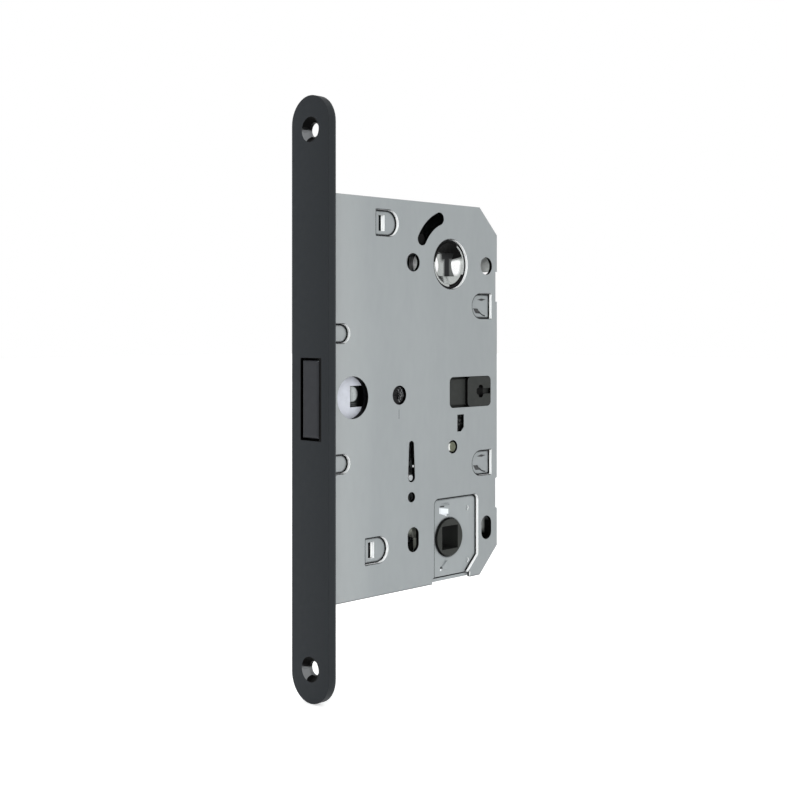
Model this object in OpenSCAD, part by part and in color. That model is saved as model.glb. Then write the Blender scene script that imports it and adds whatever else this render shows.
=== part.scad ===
// Mortice latch: a flat case let into the edge of a door, with a sprung latch that a magnet draws out,
// a follower for the lever handle and a smaller one for the privacy turn that locks the latch.
// X runs into the door from the forend's front face, Y across the door, Z up. Millimetres.

/* [Forend] */
// Height of the forend
forend_h = 196; // [170:1:240]
// Width of the forend
forend_w = 18; // [16:0.5:24]
// Thickness of the forend
forend_t = 3; // [2:0.5:4]
// Distance of each fixing screw from the forend's end
screw_inset = 11; // [9.5:0.5:14]
// Diameter of the fixing screw holes
screw_d = 4.7; // [3.5:0.1:5.5]
// Diameter of the countersinks
screw_head_d = 8.2; // [7:0.1:9]

/* [Case] */
// Thickness of the case, outside
case_t = 13; // [12:0.5:16]
// Thickness of the sheet that the case is pressed from
sheet = 1.2; // [1:0.1:1.5]
// Distance from the forend's face to the spindles
backset = 60; // [58:1:75]
// Distance from the spindles to the case's rear edge
rear_margin = 24.9; // [24:0.1:30]
// Height of the handle spindle above the latch
handle_z = 45.4; // [42:0.1:60]
// Distance between the handle spindle and the privacy spindle
centres = 96.1; // [92:0.1:110]
// Distance from the handle spindle to the case's top
top_margin = 21; // [21:0.1:30]
// Distance from the privacy spindle to the case's bottom
bottom_margin = 15.2; // [15:0.1:24]
// Size of the two rear corner chamfers
corner = 9.6; // [6:0.1:12]
// How far the tray stays inside the cover's outline
tray_inset = 0.4; // [0.2:0.1:0.6]
// Depth of the two notches in the rear edge
notch_d = 0.8; // [0.5:0.1:1]
// Height of the two notches in the rear edge
notch_h = 10.9; // [8:0.1:12]

/* [Latch] */
// Height of the latch
latch_h = 25.4; // [22:0.1:28]
// Travel of the latch
throw = 11.3; // [9:0.1:12]
// Gap round the latch in the forend
latch_gap = 0.6; // [0.3:0.1:0.8]
// Length of the dark cap on the latch's front
cap_l = 4.5; // [3:0.5:6]
// Length of the latch's cast body behind the cap
body_l = 21.5; // [20:0.5:24]
// Wall of the plastic sleeve that guides the latch
guide_wall = 1.1; // [0.9:0.1:1.3]
// Running clearance of the sliding pieces
slide_gap = 0.2; // [0.15:0.05:0.3]
// Diameter of the latch's magnet
magnet_d = 6; // [4:0.1:6.2]
// Height of the tail that the lever pulls
tail_h = 9; // [8:0.5:10]

/* [Handle] */
// Across the flats of both spindles
spindle = 8; // [7:0.5:9]
// Turn of the handle in degrees
handle_turn = 40; // [30:1:45]
// Diameter of the handle follower
hub_d = 15.8; // [15:0.1:16.4]
// Radius of the follower's push arm
push_r = 11.5; // [11:0.1:12]
// Radius at which the follower's stop pin runs
stop_r = 16.7; // [16:0.1:17.2]
// Width of the curved slot for the stop pin
stop_slot_w = 4.4; // [4:0.1:5]
// Wall of the plastic bushes
bush_wall = 0.7; // [0.6:0.1:1]
// Distance of the rose screw holes from each spindle
rose_x = 19; // [18:0.5:21]
// Diameter of the rose screw holes
rose_d = 6.3; // [5:0.1:7]

/* [Lever] */
// Place of the lever's pivot behind the spindles
pivot_dx = 1; // [-2:0.5:3]
// Place of the lever's pivot below the latch
pivot_z = -18.9; // [-21:0.1:-17]
// Diameter of the lever's pivot
pivot_d = 4.1; // [4:0.1:5]
// Radius of the rounded tips that push
tip_r = 1.8; // [1.5:0.1:2]
// Radius of the peg that pulls the latch
peg_r = 2; // [1.6:0.1:2.2]

/* [Privacy lock] */
// Diameter of the privacy follower
turn_d = 13; // [12.8:0.1:14]
// Turn of the privacy follower in degrees
turn = 90; // [80:1:95]
// Travel of the locking slide
lock_travel = 9; // [8:0.1:10]
// Distance from the privacy spindle to the locking slide's drive pin
drive_x = 9; // [8.8:0.1:10]
// Width of the locking slide's nose
nose_w = 3; // [2.5:0.1:3.2]

/* [Selector] */
// Length of the selector's window
window_l = 22; // [20:0.1:23]
// Height of the selector's window
window_h = 10.9; // [9:0.1:12]
// Length of the selector's button
button_l = 12.4; // [11:0.1:13]

/* [Hidden] */
$fn = 64;

// Small gaps: a flat push contact, a turning fit, a press fit and a part seated in a pocket
touch = 0.15;
turn_gap = 0.1;
press_gap = 0.01;
hair = 0.001;
seat_gap = 0.1;

// Layers across the case, from the visible cover to the tray
y_cover = -case_t / 2;
y_in = y_cover + sheet;
y_tray = case_t / 2;
y_back = y_tray - sheet;
pan_y = y_in + sheet;
latch_t = 2 * (y_back - guide_wall - slide_gap);
bezel_t = 2.7;
lift_t = 2.4;
lift_y1 = y_back - 0.9;
lift_y0 = lift_y1 - lift_t;
tail_y0 = y_in + bezel_t + 1.1;
tail_y1 = lift_y0 - 0.5;
lock_y0 = tail_y0 + 0.3;
lock_y1 = tail_y1 - 0.3;

// Case outline
case_x1 = backset + rear_margin;
case_z1 = handle_z + top_margin;
turn_z = handle_z - centres;
case_z0 = turn_z - bottom_margin;
chamfer_k = sqrt(2) - 1;
notch_zs = [handle_z - 7.4, turn_z + 13.5];
front_corner = 1;

// Round windows beside the latch
port_x = 12.8;
port_d = 13.9;
adjuster_x = 34.3;
adjuster_z = 0.3;
adjuster_window_d = 6.5;

// Pressed D shapes: depth is one sheet
tie_d_l = 10.5;
tie_d_h = 8.7;
upper_tie_x = 23.3;
lower_tie_x = 18.4;
upper_tie_z = handle_z + 12.7;
lower_tie_z = turn_z;
tie_slit = [2.9, 5.4];
tie_slit_x = 3.8;
stake_h = 8.9;
stake_l = 10.4;
stake_x = case_x1 - 3.2;
stake_zs = [handle_z - 14.6, turn_z + 25];
half_d_r = 3.1;
half_d_x = 8.3;
lap = 0.6;

// Latch, flush with the forend at rest
body_x0 = cap_l;
body_x1 = cap_l + body_l;
guide_x1 = body_x1;
guide_out_z = latch_h / 2 + slide_gap + 3.1;
bracket_zs = [guide_out_z + 5.2, -guide_out_z - 5];
magnet_x = 17.7;
light = [13.8, 6, 7];
light_z = 0.5;
tail_x1 = backset + 12;
rod_z = latch_h / 2 + slide_gap + 1.55;
rod_r = 0.9;
rod_x1 = backset - 2;
lug_x = backset - 10;
lug_w = 2.4;

// Adjuster: a stud whose off-centre pin runs in a groove of the tail
stud_r = 2.95;
stud_flange_r = 3.8;
ecc = 0.7;
ecc_r = 0.8;
stud_y0 = y_in - 0.3;
stud_flange_y = y_in + 0.3;
stud_foot_y = tail_y0 - 0.6;
groove_y = tail_y0 + 1;

// Handle follower
hub_r = hub_d / 2;
bush_r = hub_r + turn_gap + bush_wall;
hub_hole_r = bush_r + press_gap;
hub_y0 = y_cover + 0.8;
hub_y1 = y_tray - 0.2;
dish_r = hub_r - 0.6;
dish_depth = 3;
lobe_r = 5.2;
lobe_at = [backset, handle_z] + (rose_x - rose_d / 2 - 1.65 - lobe_r) * [cos(182), sin(182)];
stop_pin_r = stop_slot_w / 2 - 0.3;
stop_rest = 90 + 1.5 * handle_turn + 0.8;
stop_y0 = pan_y + 0.2;
stop_y1 = stop_y0 + 2.3;
lift_travel = 2 * push_r * sin(handle_turn / 2);

// Handle spring: each leg leaves the coil on a tangent and bears on a post
post_r = 1.5;
spring_r = hub_r + 1.2;
spring_wire_r = 0.4;
spring_a0 = 110;
spring_a1 = 92 + 720;
post_at = [backset, handle_z] + (spring_r - spring_wire_r - post_r - touch) * [cos(spring_a0), sin(spring_a0)]
  + 9.5 * [sin(spring_a0), -cos(spring_a0)];
finger_r = 1.2;
finger_at = [backset, handle_z] + (spring_r - spring_wire_r - finger_r - touch) * [cos(spring_a1), sin(spring_a1)]
  + 9 * [-sin(spring_a1), cos(spring_a1)];

// Lever: the upper arm swings evenly to each side of upright, the right arm to each side of level
pivot_x = backset + pivot_dx;
lever_turn = 2 * asin(throw / 2 / -pivot_z);
push_l = lift_travel / 2 / sin(lever_turn / 2);
peg_x = pivot_x - throw / 2;
peg_z = pivot_z - pivot_z * cos(lever_turn / 2);
lever_tip = [pivot_x + push_l * cos(lever_turn / 2), pivot_z + lift_travel / 2];
arm_tip = [backset + push_r * cos(handle_turn / 2), handle_z + lift_travel / 2];
lift_z1 = arm_tip[1] - tip_r - touch;
lift_z0 = lever_tip[1] + tip_r + touch;
lift_x0 = backset + hub_r + 2.3;
lift_x1 = lift_x0 + 5;
lever_y1 = lift_y1 - 0.4;
boss_r = pivot_d / 2 + 2.2;

// Privacy follower and locking slide
turn_r = turn_d / 2;
turn_y0 = y_in - 0.8;
plate_w = 22.8;
plate_x0 = backset - 8.4;
plate_z1 = turn_z + 14;
plate_z0 = case_z0 + 1.9;
plate_chamfer = 5.6;
drive_r = 1.3;
drive_gap = 0.2;
lock_x = backset - 19.85;
nose_x = lock_x - 4.1;
nose_z = -tail_h / 2 - 4.5;
lock_bar_z = turn_z + 12.8;
lock_leg_x1 = backset - turn_r - 0.45;
guide_post_z = turn_z + 26.8;
lock_bar_w = 8;
peg_slot_z0 = turn_z + 21.1;
peg_slot_z1 = turn_z + 35.2;
front_peg_z = peg_slot_z0 + 1.5;

// Selector
window_x0 = backset - 0.6;
window_z = 0.2;
window_r = 1.8;
button_gap = 0.15;
wing = 1.3;
wing_in = 0.9;
wing_t = 1.1;

// Profiles are drawn in the XZ plane and given a thickness from y0 to y1
module slab(y0, y1) {
  translate([0, y1, 0]) rotate([90, 0, 0]) linear_extrude(y1 - y0) children();
}

module disc(at, r) {
  translate(at) circle(r);
}

// Straight bar with round ends, radius ra at a and rb at b. A tapered bar's sides cross its ends by a hair, not at
// a single point, so that the outline stays clean.
module link(a, b, ra, rb) {
  d = b - a;
  l = norm(d);
  s = (ra - rb) / l;
  c = sqrt(1 - s * s) - hair;
  disc(a, ra);
  disc(b, rb);
  translate(a) rotate(atan2(d[1], d[0])) {
    if (ra == rb) translate([0, -ra]) square([l, 2 * ra]);
    else polygon([[ra * s, ra * c], [l + rb * s, rb * c], [l + rb * s, -rb * c], [ra * s, -ra * c]]);
  }
}

module box2(x0, z0, x1, z1, r = 0) {
  if (r == 0) {
    translate([x0, z0]) square([x1 - x0, z1 - z0]);
  } else {
    translate([x0 + r, z0]) square([x1 - x0 - 2 * r, z1 - z0]);
    translate([x0, z0 + r]) square([x1 - x0, z1 - z0 - 2 * r]);
    for (x = [x0 + r, x1 - r], z = [z0 + r, z1 - r]) disc([x, z], r);
  }
}

// Upright slot with round ends
module oval(at, w, h) {
  link(at - [0, (h - w) / 2], at + [0, (h - w) / 2], w / 2, w / 2);
}

// D shape: flat side at x, round side l away in direction s, height h
module d_shape(x, z, l, h, s = 1) {
  translate([x, z]) scale([s, s]) {
    translate([0, -h / 2]) square([l - h / 2, h]);
    disc([l - h / 2, 0], h / 2);
  }
}

// Curved slot round a centre, between two angles
module arc_slot(at, r, w, a0, a1) {
  far = 2 * r;
  translate(at) {
    intersection() {
      difference() {
        circle(r + w / 2);
        circle(r - w / 2);
      }
      polygon([[0, 0], far * [cos(a0), sin(a0)], far * [cos((a0 + a1) / 2), sin((a0 + a1) / 2)],
        far * [cos(a1), sin(a1)]]);
    }
    for (a = [a0, a1]) disc(r * [cos(a), sin(a)], w / 2 - hair);
  }
}

// Case outline, drawn inside the cover's edge by i
module case_outline(i, x0 = forend_t) {
  polygon([
    [x0, case_z0 + i], [case_x1 - corner - chamfer_k * i, case_z0 + i],
    [case_x1 - i, case_z0 + corner + chamfer_k * i], [case_x1 - i, case_z1 - corner - chamfer_k * i],
    [case_x1 - corner - chamfer_k * i, case_z1 - i], [x0 + front_corner, case_z1 - i],
    [x0, case_z1 - i - front_corner]
  ]);
}

module rear_notches() {
  for (z = notch_zs) box2(case_x1 - notch_d, z - notch_h / 2, case_x1 + 1, z + notch_h / 2);
}

// Holes that go through both sides of the case
module through_holes() {
  disc([backset, handle_z], hub_hole_r);
  for (s = [-1, 1]) {
    disc([backset + s * rose_x, handle_z], rose_d / 2);
    oval([backset + s * rose_x, turn_z + 1.45], 5.4, 8.5);
  }
}

module tie_outline(x, z, grow = 0) {
  d_shape(x - grow, z, tie_d_l + 2 * grow, tie_d_h + 2 * grow);
}

module stake_outline(z, grow = 0) {
  d_shape(stake_x + grow, z, stake_l + 2 * grow, stake_h + 2 * grow, -1);
}

module half_d(z, grow = 0) {
  disc([half_d_x, z], half_d_r + grow);
  box2(forend_t, z - half_d_r - grow, half_d_x, z + half_d_r + grow);
}

module tie_slit_at(x, z) {
  box2(x + tie_slit_x - tie_slit[0] / 2, z - tie_slit[1] / 2, x + tie_slit_x + tie_slit[0] / 2,
    z + tie_slit[1] / 2);
}

module plate_outline(grow = 0) {
  x0 = plate_x0 - grow;
  x1 = plate_x0 + plate_w + grow;
  z1 = plate_z1 + grow;
  r = 2;
  c = plate_chamfer + chamfer_k * grow;
  polygon([[x0, plate_z0], [x1 - c, plate_z0], [x1, plate_z0 + c], [x1, z1 - r], [x1 - r, z1 - r],
    [x1 - r, z1], [x0 + r, z1], [x0 + r, z1 - r], [x0, z1 - r]]);
  for (x = [x0 + r, x1 - r]) disc([x, z1 - r], r);
}

module window_outline(grow = 0) {
  box2(window_x0 - grow, window_z - window_h / 2 - grow, window_x0 + window_l + grow,
    window_z + window_h / 2 + grow, window_r);
}

// Slot that is wider at its lower part, for the locking slide's front peg
module peg_slot() {
  link([lock_x, peg_slot_z0 + 1.7], [lock_x, peg_slot_z1 - 1.2], 1.7, 1.2);
}

module case_cover() {
  color("darkgray") {
    slab(y_cover, y_in) difference() {
      case_outline(0);
      rear_notches();
      through_holes();
      arc_slot([backset, handle_z], stop_r, stop_slot_w, stop_rest - handle_turn - 0.4, stop_rest);
      disc([port_x, adjuster_z], port_d / 2);
      disc([adjuster_x, adjuster_z], adjuster_window_d / 2);
      window_outline();
      disc([pivot_x, pivot_z], pivot_d / 2 + 0.3);
      disc([lock_x, lock_bar_z + 3.2], 1.75);
      peg_slot();
      polygon([[backset + 3.4, -13.7], [backset + 5.3, -13.7], [backset + 6.8, -12.2],
        [backset + 6.8, -7.7], [backset + 3.4, -7.7]]);
      tie_outline(upper_tie_x, upper_tie_z);
      tie_outline(lower_tie_x, lower_tie_z);
      for (z = stake_zs) stake_outline(z);
      for (z = bracket_zs) half_d(z);
      plate_outline();
      box2(plate_x0, plate_z0 - 1, plate_x0 + plate_w - plate_chamfer, plate_z0 + 1);
      box2(plate_x0 - sheet, case_z0 - 1, plate_x0 + plate_w - plate_chamfer + sheet, plate_z0);
    }
    slab(y_in, pan_y) {
      difference() {
        tie_outline(upper_tie_x, upper_tie_z, lap);
        tie_slit_at(upper_tie_x, upper_tie_z);
      }
      difference() {
        tie_outline(lower_tie_x, lower_tie_z, lap);
        tie_slit_at(lower_tie_x, lower_tie_z);
      }
      for (z = stake_zs) stake_outline(z, lap);
      for (z = bracket_zs) half_d(z, lap);
    }
  }
}

module case_tray() {
  wall = tray_inset + sheet;
  color("silver") {
    slab(y_back, y_tray) difference() {
      case_outline(tray_inset);
      rear_notches();
      through_holes();
      disc([backset, turn_z], turn_r + turn_gap);
      disc([pivot_x, pivot_z], pivot_d / 2 + press_gap);
      tie_slit_at(upper_tie_x, upper_tie_z);
      tie_slit_at(lower_tie_x, lower_tie_z);
    }
    slab(y_in, y_back) difference() {
      case_outline(tray_inset);
      case_outline(wall, forend_t - 3);
      for (z = notch_zs) box2(case_x1 - wall - 1, z - notch_h / 2, case_x1 + 1, z + notch_h / 2);
    }
    // Lugs bent in from the rear wall, staked under the reversed D shapes
    slab(pan_y, pan_y + sheet) for (z = stake_zs)
      box2(stake_x - stake_l + 3, z - 3.4, case_x1 - wall + 0.2, z + 3.4);
    // Half-sheared posts that guide the locking slide, and one that the handle spring bears on
    for (s = [-1, 1])
      slab(lock_y0 - 0.4, y_back + 0.2) disc([lock_x + s * (lock_bar_w / 2 + slide_gap + post_r), guide_post_z], post_r);
    slab(stop_y1, y_back + 0.2) disc(post_at, post_r);
  }
}

module forend() {
  screw_z = forend_h / 2 - screw_inset;
  half_w = latch_t / 2 + latch_gap;
  half_h = latch_h / 2 + latch_gap;
  color("dimgray") difference() {
    translate([forend_t, 0, 0]) rotate([0, -90, 0]) linear_extrude(forend_t) difference() {
      union() {
        square([forend_h - forend_w, forend_w], center = true);
        for (s = [-1, 1]) disc([s * (forend_h - forend_w) / 2, 0], forend_w / 2);
      }
      box2(-half_h, -half_w, half_h, half_w, 0.8);
    }
    for (s = [-1, 1]) translate([0, 0, s * screw_z]) rotate([0, 90, 0]) {
      translate([0, 0, -1]) cylinder(h = forend_t + 2, d = screw_d);
      cylinder(h = (screw_head_d - screw_d) / 2, d1 = screw_head_d, d2 = screw_d);
    }
  }
}

// U-shaped bracket that ties the forend to both sides of the case
module bracket(z) {
  foot_h = 2 * half_d_r - 0.4;
  color("gray") {
    slab(pan_y, y_back) box2(forend_t, z - foot_h / 2, forend_t + sheet, z + foot_h / 2);
    slab(pan_y, pan_y + sheet) box2(forend_t, z - foot_h / 2, half_d_x + half_d_r, z + foot_h / 2, 1);
    slab(y_back - sheet, y_back) box2(forend_t, z - foot_h / 2, half_d_x + half_d_r, z + foot_h / 2, 1);
  }
}

module upper_bracket() {
  bracket(bracket_zs[0]);
}

module lower_bracket() {
  bracket(bracket_zs[1]);
}

module privacy_plate() {
  bump_x0 = plate_x0 + 4.2;
  dimple_x = plate_x0 + plate_w - 4.5;
  color("darkgray") difference() {
    union() {
      slab(y_in, pan_y) plate_outline(1);
      // Clinched tabs at the left, one square and one three-cornered, each sloping up towards the rear
      intersection() {
        translate([0, 0, turn_z - 12]) linear_extrude(24)
          polygon([[bump_x0, y_in + 0.1], [bump_x0, y_in - 0.05], [bump_x0 + 4, y_in - 0.95], [bump_x0 + 4, y_in + 0.1]]);
        slab(y_in - 1, y_in + 0.2) {
          box2(bump_x0 - 1, turn_z + 8.4, bump_x0 + 5, turn_z + 11.4);
          polygon([[bump_x0, turn_z - 11], [bump_x0 + 3, turn_z - 8], [bump_x0 + 3, turn_z - 11]]);
        }
      }
    }
    slab(y_in - 1, pan_y + 1) disc([backset, turn_z], turn_r + turn_gap);
    slab(y_in - 1, y_in + 0.5) for (s = [-1, 1]) disc([dimple_x, turn_z + s * 9.3], 0.9);
    slab(y_in + 0.4, pan_y + 1) box2(bump_x0 + 0.4, turn_z + 8.8, bump_x0 + 3.6, turn_z + 11);
  }
}

// Flat pillar with a narrower tab at each end, held in the slits of both sides
module tie(x, z) {
  slit_x1 = x + tie_slit_x + tie_slit[0] / 2 - seat_gap;
  color("lightgray") {
    slab(pan_y, y_back) box2(slit_x1 - 3.4, z - 4, slit_x1 + 0.6, z + 4);
    slab(pan_y - 0.3, y_tray - 0.1)
      box2(slit_x1 - 1.6, z - tie_slit[1] / 2 + seat_gap, slit_x1, z + tie_slit[1] / 2 - seat_gap);
  }
}

module upper_tie() {
  tie(upper_tie_x, upper_tie_z);
}

module lower_tie() {
  tie(lower_tie_x, lower_tie_z);
}

// Sleeve behind the forend, with a tongue that carries the adjuster
module latch_guide() {
  tongue_x1 = adjuster_x + stud_flange_r + 1.6;
  inner_z = latch_h / 2 + slide_gap;
  inner_y = latch_t / 2 + slide_gap;
  color([0.13, 0.13, 0.14]) difference() {
    union() {
      slab(y_in, y_back) box2(forend_t, -guide_out_z, guide_x1, guide_out_z);
      slab(y_in, tail_y0 - 0.5) box2(guide_x1 - 3, adjuster_z - 4.8, tongue_x1, adjuster_z + 4.8, 1);
    }
    slab(-inner_y, inner_y) box2(forend_t - 1, -inner_z, guide_x1 + 1, inner_z, 0.5);
    slab(y_in - 1, 0) disc([port_x, adjuster_z], port_d / 2 + 0.1);
    slab(y_in - 1, y_back) disc([adjuster_x, adjuster_z], 2);
    slab(y_in - 1, stud_flange_y + 1) disc([adjuster_x, adjuster_z], stud_flange_r + turn_gap);
    translate([guide_x1 - 6, 0, rod_z]) rotate([0, 90, 0]) cylinder(h = 12, r = rod_r + press_gap);
  }
}

module spring_rod() {
  color("silver") translate([guide_x1 - 1, 0, rod_z]) rotate([0, 90, 0])
    cylinder(h = rod_x1 - guide_x1 + 1, r = rod_r);
}

// Round wire along a list of points; up is a direction that the wire never runs along
module wire(points, r, up, sides = 6) {
  n = len(points);
  run = [for (i = [0:n - 1]) points[min(i + 1, n - 1)] - points[max(i - 1, 0)]];
  side = [for (t = run) cross(t, up) / norm(cross(t, up))];
  rings = [
    for (i = [0:n - 1], k = [0:sides - 1])
      let (lift = cross(side[i], run[i]) / norm(cross(side[i], run[i])), a = 360 * k / sides)
        points[i] + r * (cos(a) * side[i] + sin(a) * lift)
  ];
  skin = [
    for (i = [0:n - 2], k = [0:sides - 1])
      let (a = i * sides + k, b = i * sides + (k + 1) % sides)
        each [[a, b, b + sides], [a, b + sides, a + sides]]
  ];
  caps = [
    for (k = [1:sides - 2]) each [[0, k + 1, k], [(n - 1) * sides, (n - 1) * sides + k, (n - 1) * sides + k + 1]]
  ];
  polyhedron(rings, concat(skin, caps));
}

// Compression spring on its rod, between the sleeve and the tail's lug
module latch_spring() {
  turns = 13;
  coil_r = 1.7;
  wire_r = 0.3;
  steps = 10;
  x0 = guide_x1 + wire_r + 0.1;
  x1 = lug_x - wire_r - 0.1;
  path = [
    for (i = [0:turns * steps])
      let (a = 360 * i / steps, f = i / (turns * steps))
        [x0 + (x1 - x0) * f, coil_r * cos(a), rod_z + coil_r * sin(a)]
  ];
  color("gainsboro") wire(path, wire_r, [1, 0, 0]);
}

module latch_cap() {
  r = 1;
  color("dimgray") {
    intersection() {
      slab(-latch_t / 2, latch_t / 2) {
        box2(0, -latch_h / 2, cap_l - 1, latch_h / 2, r);
        box2(r, -latch_h / 2, cap_l, latch_h / 2);
      }
      translate([0, 0, -latch_h / 2]) linear_extrude(latch_h) {
        box2(0, -latch_t / 2, cap_l - 1, latch_t / 2, r);
        box2(r, -latch_t / 2, cap_l, latch_t / 2);
      }
    }
    slab(-1.5, 1.5) difference() {
      box2(cap_l, -6, cap_l + 4, 6);
      disc([cap_l + 2, 0], 1.2 + press_gap);
    }
  }
}

// Cast body with a slot for the cap's tenon, a bore for the magnet and a side light that shows it
module latch_body() {
  light_x0 = light[0];
  light_x1 = light[0] + light[1];
  color([0.82, 0.82, 0.86]) difference() {
    slab(-latch_t / 2, latch_t / 2) box2(body_x0, -latch_h / 2, body_x1, latch_h / 2);
    slab(-1.5 - seat_gap, 1.5 + seat_gap) box2(body_x0 - 1, -6 - seat_gap, body_x0 + 4 + seat_gap, 6 + seat_gap);
    slab(-latch_t, latch_t) {
      disc([body_x0 + 2, 0], 1.2 + press_gap);
      disc([body_x1 - 2, 0], 1.2 + press_gap);
    }
    slab(-latch_t, 0) box2(light_x0, light_z - light[2] / 2, light_x1, light_z + light[2] / 2);
    translate([magnet_x, 0, -latch_h / 2 + 3]) cylinder(h = latch_h, d = magnet_d + 2 * press_gap);
    slab(tail_y0 - seat_gap, tail_y1 + seat_gap)
      box2(body_x1 - 4 - seat_gap, -tail_h / 2 - seat_gap, body_x1 + 1, tail_h / 2 + seat_gap);
  }
}

module latch_magnet() {
  color("lightsteelblue") translate([magnet_x, 0, -latch_h / 2 + 3]) cylinder(h = latch_h - 4, d = magnet_d);
}

// Cross pins of the cap and the tail
module latch_pins() {
  color("silver") slab(-latch_t / 2, latch_t / 2) {
    disc([body_x0 + 2, 0], 1.2);
    disc([body_x1 - 2, 0], 1.2);
  }
}

// Flat tail: a lug for the spring, a slot for the lever's peg and two notches for the locking nose
module latch_tail() {
  slot_x0 = peg_x - peg_r - slide_gap;
  slot_x1 = peg_x + throw + peg_r + touch;
  slot_z0 = peg_z - peg_r - slide_gap;
  slot_z1 = peg_r + slide_gap;
  groove_half = ecc + ecc_r + slide_gap;
  color("silver") difference() {
    slab(tail_y0, tail_y1) difference() {
      union() {
        box2(body_x1 - 4, -tail_h / 2, tail_x1, tail_h / 2);
        box2(lug_x, 0, lug_x + lug_w, rod_z + 3);
      }
      disc([body_x1 - 2, 0], 1.2 + press_gap);
      box2(slot_x0, slot_z0, slot_x1, slot_z1, 1);
      for (x = [nose_x, nose_x + throw])
        box2(x - 0.3, -tail_h, x + nose_w + 0.3, nose_z + lock_travel + 0.5);
    }
    slab(tail_y0 - 1, groove_y)
      box2(adjuster_x - groove_half, adjuster_z - groove_half, adjuster_x + throw + groove_half,
        adjuster_z + groove_half, ecc_r);
    translate([lug_x - 1, 0, rod_z]) rotate([0, 90, 0]) cylinder(h = lug_w + 2, r = rod_r + slide_gap);
  }
}

// Stud with a toothed rim and a cross recess, turned with a screwdriver
module adjuster() {
  teeth = 14;
  color([0.12, 0.12, 0.13]) difference() {
    union() {
      slab(stud_y0, stud_flange_y) disc([adjuster_x, adjuster_z], stud_r);
      slab(stud_flange_y - 0.1, stud_flange_y + 0.9) disc([adjuster_x, adjuster_z], stud_flange_r);
      slab(stud_flange_y + 0.8, stud_foot_y) disc([adjuster_x, adjuster_z], 2 - turn_gap);
      slab(stud_foot_y - 0.1, groove_y - 0.2) disc([adjuster_x, adjuster_z + ecc], ecc_r);
    }
    slab(stud_y0 - 1, stud_y0 + 1) {
      for (k = [0:teeth - 1])
        disc([adjuster_x, adjuster_z] + stud_r * [cos(360 * k / teeth), sin(360 * k / teeth)], 0.28);
      for (a = [0, 90]) translate([adjuster_x, adjuster_z]) rotate(a) square([3.2, 0.8], center = true);
    }
  }
}

// Plastic bush: a sleeve in the hole of one side and a flange inside it
module bush(y0, y1, flange_y0, flange_y1) {
  color([0.1, 0.1, 0.1]) {
    slab(y0, y1) difference() {
      disc([backset, handle_z], bush_r);
      disc([backset, handle_z], hub_r + turn_gap);
    }
    slab(flange_y0, flange_y1) difference() {
      disc([backset, handle_z], bush_r + 1);
      disc([backset, handle_z], hub_r + turn_gap);
    }
  }
}

module front_bush() {
  bush(y_in - 0.25, y_in + 0.7, y_in, y_in + 0.7);
}

module rear_bush() {
  bush(y_back - 0.7, y_back + 0.25, y_back - 0.7, y_back);
}

// Hub with a dished mouth on both sides, an arm for the stop pin and the spring, a rounded lobe that shows in the
// front rose hole, and an arm that pushes the lift slide
module handle_follower() {
  at = [backset, handle_z];
  stop_at = at + stop_r * [cos(stop_rest), sin(stop_rest)];
  color("gainsboro") difference() {
    union() {
      slab(hub_y0, hub_y1) disc(at, hub_r);
      slab(stop_y0, stop_y1) {
        disc(at, hub_r + 1.3);
        link(at, stop_at, 5, stop_pin_r + 1);
        link(at, lobe_at, lobe_r, lobe_r);
      }
      slab(y_cover + 0.6, stop_y0 + 0.1) disc(stop_at, stop_pin_r);
      slab(stop_y1 - 0.1, stop_y1 + 1.3) disc(finger_at, finger_r);
      slab(lift_y0, lift_y1) {
        link(at, arm_tip, 1.3, 1.3);
        disc(arm_tip, tip_r);
      }
    }
    slab(hub_y0 - 1, hub_y1 + 1) translate(at) square(spindle + 2 * turn_gap, center = true);
    translate([backset, hub_y0, handle_z]) rotate([-90, 0, 0])
      cylinder(h = dish_depth, r1 = dish_r, r2 = spindle / 2);
    translate([backset, hub_y1, handle_z]) rotate([90, 0, 0])
      cylinder(h = dish_depth, r1 = dish_r, r2 = spindle / 2);
  }
}

// Coil round an axis across the case, with a straight leg at each end
function coil(at, r, y0, y1, a0, a1, steps, leg) =
  let (
    arc = [for (i = [0:steps]) let (f = i / steps, a = a0 + (a1 - a0) * f)
      [at[0] + r * cos(a), y0 + (y1 - y0) * f, at[1] + r * sin(a)]],
    w = a1 > a0 ? 1 : -1,
    out0 = w * [sin(a0), 0, -cos(a0)],
    out1 = w * [-sin(a1), 0, cos(a1)]
  ) concat([arc[0] + leg * out0], arc, [arc[steps] + leg * out1]);

// Torsion spring that returns the handle: one leg on the tray's post, one on the stop arm's finger
module handle_spring() {
  color("gainsboro")
    wire(coil([backset, handle_z], spring_r, 1.4, -1.05, spring_a0, spring_a1, 40, 10.7), spring_wire_r, [0, 1, 0]);
}

// Bar that the follower pushes down on to the lever
module lift_slide() {
  color("lightgray") slab(lift_y0, lift_y1) difference() {
    union() {
      box2(lift_x0, lift_z0 + 1, lift_x1, lift_z1);
      box2(lever_tip[0] - 1.4, lift_z0, lever_tip[0] + 3, lift_z0 + 5, 0.5);
    }
    oval([(lift_x0 + lift_x1) / 2, 0], 2, 10);
  }
}

// Plastic channel on the tray in which the lift slide runs
module slide_guide() {
  color([0.13, 0.13, 0.14]) {
    slab(lift_y1 + 0.2, y_back) box2(lift_x0 - 1.4, 14, lift_x1 + 1.4, 34);
    slab(lift_y0 + 0.2, y_back) {
      box2(lift_x0 - 1.4, 14, lift_x0 - slide_gap, 34);
      box2(lift_x1 + slide_gap, 14, lift_x1 + 1.4, 34);
    }
  }
}

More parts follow.
